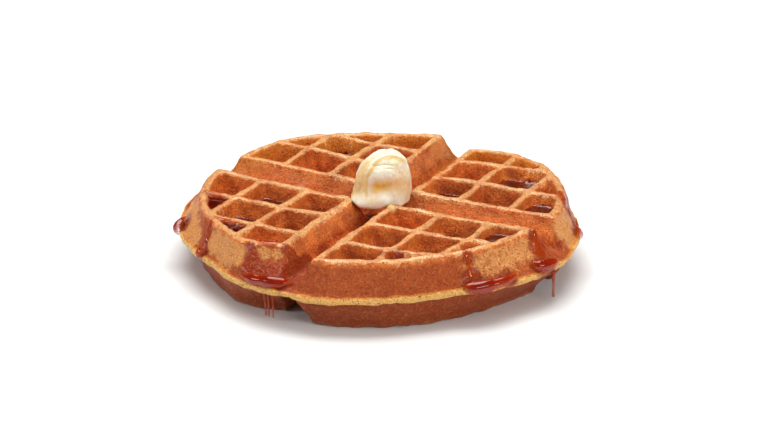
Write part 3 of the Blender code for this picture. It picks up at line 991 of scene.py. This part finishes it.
# %% Places of the syrup
RIB_RUNS = [
    (0.7, [(33, -65, 30.6, 2.4), (38, -62, 30.2, 3.0), (44, -60, 29.8, 2.2)]),
    (0.7, [(-20, -76, 30.2, 2.0), (-14, -76, 30.2, 2.4)]),
    (0.8, [(71, 38, 32, 2.2), (76, 32, 30.5, 2.4), (79, 27, 29.5, 1.8)]),
]
WALL_RUNS = [
    (0.9, [(-54, -62, 29.3, 1.7), (-54, -64, 25.5, 1.5), (-53, -67.5, 21, 1.9)]),
    (0.7, [(63, -46, 29.6, 1.6), (64.5, -46.6, 26, 1.6), (67, -48, 20.5, 2.2)]),
    (0.8, [(79, -9, 29.4, 1.9), (80, -10.5, 25.5, 2.2), (83, -13, 21.5, 3.2)]),
    (0.9, [(78, 29, 29, 1.8), (79.5, 33, 22, 2.4), (83, 33, 17.5, 2.6)]),
]
BEADS = [
    (1.0, [(-75, -47, 21.5, 1.4), (-79, -46, 19, 2.7), (-79.5, -50, 17.4, 2.8), (-77, -55, 17, 1.2)]),
    (1.0, [(-51.5, -69.5, 20, 1.2), (-54, -70, 17.8, 2.0), (-55, -72, 16.0, 1.4)]),
    (1.0, [(-25, -85, 17.4, 1.0), (-18, -87, 17.4, 2.6), (-9, -88, 17.6, 3.0), (-2, -87, 17.8, 2.5),
           (1, -83, 18.4, 1.2)]),
    (1.0, [(65, -55, 17.4, 1.4), (69, -52.5, 17.0, 3.2), (75, -46, 17.2, 2.8), (80, -37, 17.8, 2.2),
           (81, -31, 19, 0.9)]),
    (1.0, [(82, -23, 19.5, 1.4), (86, -20, 17.8, 3.0), (88.5, -15, 17.0, 3.0), (90, -9, 16.8, 1.4)]),
    (1.0, [(83, 33, 17.4, 1.0), (87, 25, 17.2, 1.9), (88, 20, 16.8, 0.8)]),
    (0.6, [(-75, -35.0, 30.5, 0.8), (-70, -35.4, 29.6, 1.7), (-65, -35.4, 29.4, 1.5),
           (-60, -35.2, 29.6, 0.6)]),
    (0.6, [(-54, -59.6, 29.6, 0.7), (-48, -60.2, 29.0, 1.6), (-42, -60.2, 29.0, 1.4),
           (-36, -60.0, 29.2, 0.6)]),
]
STRANDS = [
    [(-12.2, -87.6, 15.0, 1.0), (-12.0, -86.5, 9.0, 0.5), (-11.9, -86.2, 3.0, 0.5),
     (-11.9, -86.2, 0.9, 0.8)],
    [(-10.0, -87.6, 15.0, 0.9), (-10.2, -86.6, 8.0, 0.45), (-10.2, -86.4, 2.0, 0.5),
     (-10.2, -86.4, 0.7, 0.6)],
    [(-7.6, -87.8, 15.0, 0.8), (-8.0, -86.8, 9.0, 0.4), (-8.0, -86.6, 3.0, 0.45),
     (-8.0, -86.6, 0.7, 0.55)],
    [(90.0, -13.0, 15.4, 1.5), (90.2, -12.6, 9.0, 0.65), (90.2, -12.5, 3.0, 0.6),
     (90.2, -12.5, 1.2, 1.1)],
]
POOLS = [
    (-54.0, -17.5, 24.2), (-31.0, -16.0, 22.0), (-54.0, -40.0, 22.8), (-33.0, -41.0, 21.5),
    (-46.1, -70.6, 28.8), (-70.6, -46.1, 29.9), (-20.0, -22.0, 21.4), (-22.0, -45.0, 20.6),
    (65.0, -19.0, 26.4), (46.0, -22.0, 20.4), (22.0, -46.0, 21.2), (22.0, -66.0, 22.4),
    (46.0, -45.0, 20.8), (46.0, 46.0, 26.4), (67.0, 22.0, 25.8), (22.0, 22.0, 24.2),
    (22.0, 46.0, 20.8), (46.0, 22.0, 20.9), (-22.0, 46.0, 24.4), (-46.0, 46.0, 26.0),
    (-22.0, 22.0, 22.2),
]
POCKET_REACH = 12.3
CROSSING_MIDDLE = (-4.0, -8.0)
CROSSING_LEVEL = 19.0
CROSSING_FADE = (10.0, 15.0)


# %% Lay runs and pools over each other
def add_runs(total, runs, allowed, wobble):
    """Raises the thickness to each run's, where runs of this kind may lie."""
    for height, stops in runs:
        here = run_thickness(crust_shape[allowed], stops, height, wobble)
        total[allowed] = np.maximum(total[allowed], here)


def pool_depth(surface, cell):
    """How far the surface stands over the crust, sinking just under it outside the pool."""
    rise = surface - crust_shape[cell, 2]
    return np.where(rise > 0.0, rise, -SUNK * smoothstep(0.0, 1.2, -rise))


def add_pool(total, level, cell, here):
    """Raises the thickness to the pool's, and marks where the pool is what stands there."""
    level[cell] |= (here > total[cell]) & (here > 0.0)
    total[cell] = np.maximum(total[cell], here)


# %% How thick the syrup lies
def syrup_thickness():
    """The greatest of all runs and pools at each point, and whether it stands level."""
    wobble = 0.16 * value_noise(crust_shape, 4.0, 61) + 0.07 * value_noise(crust_shape, 1.8, 62)
    total = np.full(len(crust_shape), -SUNK)
    level = np.zeros(len(crust_shape), bool)
    x, y, z = true_round.T
    upper = z > MIDDLE - 2.5
    on_wall = upper & (radius_all > RIM_EDGE - 1.2)
    on_ribs = upper & (z > THICKNESS - 3.5)
    for runs, allowed in ((RIB_RUNS, on_ribs), (WALL_RUNS, on_wall)):
        add_runs(total, runs, allowed, wobble[allowed])
    off_grooves = np.minimum(np.abs(x), np.abs(y)) > RIB_LINES[0]
    in_pockets = upper & off_grooves & (radius_all < RIM_INSIDE + 1.0)
    for pool_x, pool_y, surface in POOLS:
        cell = in_pockets & (np.abs(x - pool_x) < POCKET_REACH) & (np.abs(y - pool_y) < POCKET_REACH)
        cell &= np.sign(x) == np.sign(pool_x)
        add_pool(total, level, cell, pool_depth(surface, cell))
    off_middle = np.hypot(*(crust_shape[:, :2] - CROSSING_MIDDLE).T)
    crossing = upper & (off_middle < CROSSING_FADE[1])
    here = pool_depth(CROSSING_LEVEL, crossing)
    fade = 1.0 - smoothstep(*CROSSING_FADE, off_middle[crossing])
    here = np.where(here > 0.0, here * fade - SUNK * (1.0 - fade), here)
    add_pool(total, level, crossing, here)
    return total, level


# %% Syrup material
def make_syrup_material():
    """Amber where it is thin, then red brown, then almost black, and more see-through when thin."""
    material, tree, shader = new_material("dark_syrup")
    blotches = cooked(tree, object_place(tree), 180.0, 500.0, 600.0)["Blotches"]
    thick = named_value(tree, "thickness")
    colour = mix_colours(tree, ramp(tree, thick, 0.0, 1.0), srgb(214, 94, 20), srgb(150, 34, 8))
    colour = mix_colours(tree, ramp(tree, thick, 1.0, 1.9), colour, srgb(66, 13, 5))
    fill(tree, shader.inputs, {
        "Base Color": mix_colours(tree, times(tree, blotches, 0.2), colour, srgb(150, 40, 8)),
        "Alpha": ramp(tree, thick, -0.05, 1.2, 0.1, 0.95),
        "Roughness": times_plus(tree, blotches, 0.02, 0.02),
        "IOR": 1.55,
    })
    return material


# %% [markdown]
# Where a run reaches the seam it gathers into a fat bead, and a thin strand hangs on from
# there. Both are one round profile carried along a path. A bead's path is first pulled onto
# the crust. Its depth grows toward the profile's outward side, so that it shows amber where
# it meets the crust and dark in the middle.

# %% Beads and strands of syrup
DEPTH_SHARE = 0.24
STRAND_DEPTH = 0.45
END_DEPTH = 0.3
BEAD_SUNK = 0.3
SWELL = 0.12


def smoothed(rows, width=9):
    """Each row averaged with its neighbours, the first and last row repeated past the ends."""
    padded = np.pad(rows, ((width // 2, width // 2), (0, 0)), mode="edge")
    return np.stack([np.convolve(c, np.ones(width) / width, "valid") for c in padded.T], axis=1)


def carried_profile(stops, clings, flatness, seed, steps=44, sides=20):
    """A circle carried along smoothed stops (x, y, z, radius), its ends closed to points."""
    stops = np.array(stops, float)
    lengths = np.linalg.norm(np.diff(stops[:, :3], axis=0), axis=1)
    along = np.concatenate([[0.0], np.cumsum(lengths)])
    t = np.linspace(0.0, along[-1], steps)
    path = np.stack([np.interp(t, along, column) for column in stops.T], axis=1)
    out = np.tile(FRONT, (steps, 1))
    if clings:
        gaps = np.linalg.norm(crust_shape[None] - path[:, None, :3], axis=2)
        nearest = gaps.argmin(axis=1)
        out = crust_normals[nearest]
        path[:, :3] = crust_shape[nearest] + out * BEAD_SUNK * path[:, 3:]
    path, out = smoothed(path), smoothed(out)
    tangent = unit(np.gradient(path[:, :3], axis=0))
    side = unit(np.cross(tangent, out))
    out = np.cross(side, tangent)
    round_end = np.sqrt(np.clip(1.0 - np.linspace(-1.0, 1.0, steps) ** 8, 0.02, 1.0))
    radius = path[:, 3] * round_end * (1.0 + SWELL * value_noise(path[:, :3], 4.0, seed))
    turn = np.linspace(0.0, 2.0 * math.pi, sides, endpoint=False)[:, None]
    ring = flatness * np.cos(turn) * out[:, None] + np.sin(turn) * side[:, None]
    grid = path[:, None, :3] + radius[:, None, None] * ring
    deep = DEPTH_SHARE * radius[:, None] * (1.0 + np.cos(turn[:, 0]))
    deep += 0.0 if clings else STRAND_DEPTH
    points = np.concatenate([path[:1, :3], grid.reshape(-1, 3), path[-1:, :3]])
    values = np.concatenate([[END_DEPTH], deep.ravel(), [END_DEPTH]])
    return points, closed_grid_faces(steps, sides), values


def joined(parts):
    """Several meshes (points, faces, values) as one."""
    points, faces, values = zip(*parts)
    starts = np.cumsum([0] + [len(some) for some in points])
    moved = [[corner + start for corner in face] for start, some in zip(starts, faces) for face in some]
    return np.concatenate(points), moved, np.concatenate(values)


# %% Make the beads and strands
parts = [carried_profile(stops, True, flatness, 70 + i) for i, (flatness, stops) in enumerate(BEADS)]
parts += [carried_profile(stops, False, 1.0, 80 + i, steps=30, sides=12) for i, stops in enumerate(STRANDS)]
bead_points, bead_faces, bead_values = joined(parts)
print("beads:", len(BEADS), "strands:", len(STRANDS), "points:", len(bead_points))

# %% Make the syrup
sheet_points, sheet_faces, sheet_values = coat(*syrup_thickness())
dark_syrup = make_syrup_material()
for name, points, faces, values in (
    ("syrup", sheet_points, sheet_faces, sheet_values),
    ("syrup_beads", bead_points, bead_faces, bead_values),
):
    piece = make_piece(name, within_frame(points), faces, dark_syrup, {"thickness": values})
    finer = piece.modifiers.new("finer", "SUBSURF")
    finer.levels = 1
    finer.render_levels = 1

# %% [markdown]
# Where the butter's foot touches warm ribs it has melted to a thin clear film. It is made the
# way the syrup sheet is, from the crust's own faces, with a paler and thinner look.

# %% Melted butter
MELTED_RUNS = [
    (0.5, [(9.5, -11.5, 30.4, 2.6), (12.1, -13.6, 30.2, 2.0), (13.9, -15.1, 28.5, 1.6),
           (14.8, -16.6, 24.5, 1.3)]),
    (0.4, [(-9.5, -12.8, 30.3, 2.2), (-13.9, -9.5, 30.3, 1.6), (-17.0, -9.8, 30.3, 1.0)]),
    (0.4, [(12.0, 10.5, 31.0, 2.2), (16.0, 11.0, 31.4, 1.4)]),
]


def make_melted_material():
    """Clear pale gold that covers more where it is thicker."""
    material, tree, shader = new_material("melted_butter")
    thick = named_value(tree, "thickness")
    fill(tree, shader.inputs, {
        "Base Color": mix_colours(tree, thick, srgb(238, 190, 110), srgb(250, 226, 170)),
        "Alpha": ramp(tree, thick, -0.05, 0.5, 0.05, 0.6),
        "Roughness": 0.08,
    })
    return material


on_top = true_round[:, 2] > MIDDLE
melted_depth = np.full(len(crust_shape), -SUNK)
add_runs(melted_depth, MELTED_RUNS, on_top, 0.12 * value_noise(crust_shape[on_top], 3.0, 65))
melted_points, melted_faces, melted_values = coat(melted_depth, np.zeros(len(crust_shape), bool))
melted_looks = {"thickness": melted_values}
melted = make_melted_material()
make_piece("melted_butter", melted_points, melted_faces, melted, melted_looks)

# %% [markdown]
# The camera looks down a little, at the side of the waffle where two quarters and the groove
# between them face it. A long lens from almost a metre away keeps the ribs from converging.

# %% Camera
CAMERA_TARGET = Vector((-18.7, 44.25, 0.0)) * MM
CAMERA_AZIMUTH = math.radians(27.05)
CAMERA_ELEVATION = math.radians(20.76)
CAMERA_DISTANCE = 906.6 * MM
CAMERA_LENS = 85.6
CAMERA_SENSOR = 36.0


def stand(made, place, toward):
    """Stands a camera or lamp at a place in metres, looking along a direction."""
    made.location = place
    made.rotation_mode = "QUATERNION"
    made.rotation_quaternion = toward.to_track_quat("-Z", "Y")


level = math.cos(CAMERA_ELEVATION)
sideways, frontways = math.sin(CAMERA_AZIMUTH) * level, -math.cos(CAMERA_AZIMUTH) * level
back = Vector((sideways, frontways, math.sin(CAMERA_ELEVATION)))
camera_data = bpy.data.cameras.new("camera")
camera_data.lens = CAMERA_LENS
camera_data.sensor_width = CAMERA_SENSOR
camera = new_object("camera", camera_data)
stand(camera, CAMERA_TARGET + back * CAMERA_DISTANCE, -back)
bpy.context.scene.camera = camera

# %% [markdown]
# One broad softbox hangs over the food and a little behind it. It draws the long pale
# reflections on the syrup, and two low strips in front draw thin ones on the beads. The
# lamps that only fill the shade are kept out of reflections, because a white room mirrored
# everywhere would turn dark syrup milky.

# %% Floor and light
floor_mesh = bpy.data.meshes.new("floor")
floor_mesh.from_pydata([(-3, -3, 0), (3, -3, 0), (3, 3, 0), (-3, 3, 0)], [], [(0, 1, 2, 3)])
floor_material, floor_tree, floor_shader = new_material("pale_floor")
fill(floor_tree, floor_shader.inputs, {"Base Color": srgb(228, 228, 226), "Roughness": 0.7})
floor_mesh.materials.append(floor_material)
floor = new_object("floor", floor_mesh)
world = bpy.data.worlds.new("studio")
bpy.context.scene.world = world
world.use_nodes = True
background = world.node_tree.nodes["Background"]
fill(world.node_tree, background.inputs, {"Color": (1, 1, 1, 1), "Strength": 0.22})
world.cycles_visibility.glossy = False


def add_softbox(name, place, width, height, power, shows):
    """A rectangular lamp at a place in metres, aimed at the food; some don't show in reflections."""
    data = bpy.data.lights.new(name, "AREA")
    data.shape = "RECTANGLE"
    data.size = width
    data.size_y = height
    data.energy = power
    lamp = new_object(name, data)
    stand(lamp, place, -Vector(place))
    lamp.visible_glossy = shows


add_softbox("overhead", (-0.15, 0.25, 1.05), 1.0, 0.8, 14.0, shows=True)
add_softbox("ceiling", (0, 0, 2.2), 3.0, 3.0, 16.0, shows=False)
add_softbox("left_strip", (-0.62, -0.72, 0.42), 0.5, 0.09, 1.5, shows=True)
add_softbox("right_strip", (0.90, -0.24, 0.42), 0.5, 0.09, 1.5, shows=True)
add_softbox("left_fill", (-0.85, -0.60, 0.35), 0.4, 0.4, 2.4, shows=False)
add_softbox("right_fill", (0.90, -0.35, 0.35), 0.4, 0.4, 3.6, shows=False)
bpy.context.scene.view_settings.view_transform = "Standard"
